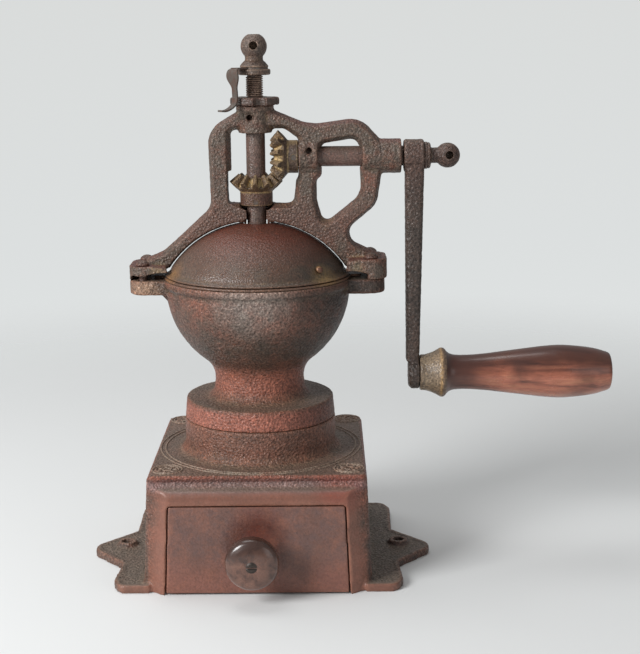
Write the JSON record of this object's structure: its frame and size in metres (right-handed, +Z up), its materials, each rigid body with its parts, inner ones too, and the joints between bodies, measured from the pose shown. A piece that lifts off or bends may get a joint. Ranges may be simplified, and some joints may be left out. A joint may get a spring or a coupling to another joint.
{
  "type": "manual coffee grinder",
  "caption": "Cast iron hand coffee mill with a drawer box, round hopper, open bridge carrying a bevel gear drive, a side crank with a turned wooden grip and a screw for the grind setting.",
  "frame": {"origin": "on the resting plane, midway between the two screw-down holes, under the axis of the vertical spindle", "axes": "+Z up along the spindle, +X along the crank shaft towards the crank, -Y towards the drawer"},
  "size_m": [0.3292, 0.1778, 0.3289],
  "materials": {
    "painted_iron": "worn red-brown paint over rough cast iron",
    "painted_sheet": "worn red-brown paint on pressed sheet",
    "drawer_paint": "smoother red-brown paint",
    "painted_steel": "worn brown paint on turned steel",
    "grey_iron": "dark bare iron with brown patina",
    "gear_iron": "bare iron with dried coffee dust on the teeth",
    "burr_iron": "bare hardened iron",
    "steel": "dull oxidised steel",
    "tinplate": "dull tinned sheet",
    "bronze": "dark patinated metal with a worn edge",
    "brass_knob": "worn brass",
    "dark_wood": "polished dark wood",
    "mahogany": "polished reddish hardwood"
  },
  "bodies": {
    "mill": {"base_casting": "painted_iron", "hopper": "painted_iron", "hopper_screws": "steel", "outer_burr": "burr_iron", "lower_bearing": "grey_iron", "bearing_screws": "steel", "bridge": "painted_iron", "bridge_bolts": "steel", "rear_cover": "painted_sheet", "index_wheel": "grey_iron"},
    "drawer": {"drawer_front": "drawer_paint", "drawer_tray": "tinplate", "drawer_knob": "dark_wood", "knob_screw": "steel", "knob_nut": "steel"},
    "cover": {"front_cover": "painted_sheet", "cover_knob": "brass_knob"},
    "crank": {"crank_shaft": "painted_steel", "crank_gear": "gear_iron", "crank_gear_pin": "steel", "crank_arm": "grey_iron", "crank_washer": "steel", "crank_nut": "painted_steel", "grip_spindle": "steel"},
    "handgrip": {"ferrule": "bronze", "grip": "mahogany"},
    "swivel": {"thrust_pad": "steel"},
    "spindle": {"arbor": "painted_steel", "arbor_gear": "gear_iron", "arbor_gear_pin": "steel", "inner_burr": "burr_iron", "burr_pin": "steel"},
    "setting_screw": {"adjusting_screw": "painted_steel", "catch_plate": "grey_iron", "catch_strap": "steel"},
    "catch": {"catch_leaf": "steel"}
  },
  "joints": [
    {"name": "drawer_slide", "type": "slide", "parent": "mill", "child": "drawer", "axis": [0, -1, 0], "range_m": [0, 0.11]},
    {"name": "cover_turn", "type": "hinge", "parent": "mill", "child": "cover", "pos_m": [0, 0, 0.1836], "axis": [0, 0, 1], "range_deg": [-115, 30]},
    {"name": "crank_turn", "type": "hinge", "parent": "mill", "child": "crank", "pos_m": [0.05, 0, 0.2551], "axis": [1, 0, 0], "continuous": true},
    {"name": "grip_spin", "type": "hinge", "parent": "crank", "child": "handgrip", "pos_m": [0.16, 0, 0.1181], "axis": [1, 0, 0], "continuous": true},
    {"name": "feed", "type": "slide", "parent": "mill", "child": "swivel", "axis": [0, 0, -1], "range_m": [0, 0.002]},
    {"name": "spindle_spin", "type": "hinge", "parent": "swivel", "child": "spindle", "pos_m": [0, 0, 0.2], "axis": [0, 0, 1], "continuous": true},
    {"name": "screw_turn", "type": "hinge", "parent": "swivel", "child": "setting_screw", "pos_m": [0, 0, 0.3], "axis": [0, 0, -1], "range_deg": [0, 720]},
    {"name": "catch_swing", "type": "hinge", "parent": "setting_screw", "child": "catch", "pos_m": [-0.01131, -0.01131, 0.3087], "axis": [0.7071, -0.7071, 0], "range_deg": [-7, 5], "stiffness_Nm_per_rad": 0.4}
  ],
  "couplings": [
    {"joint": "spindle_spin", "follows": "crank_turn", "ratio": 1},
    {"joint": "screw_turn", "follows": "feed", "rad_per_m": 6283.2}
  ]
}
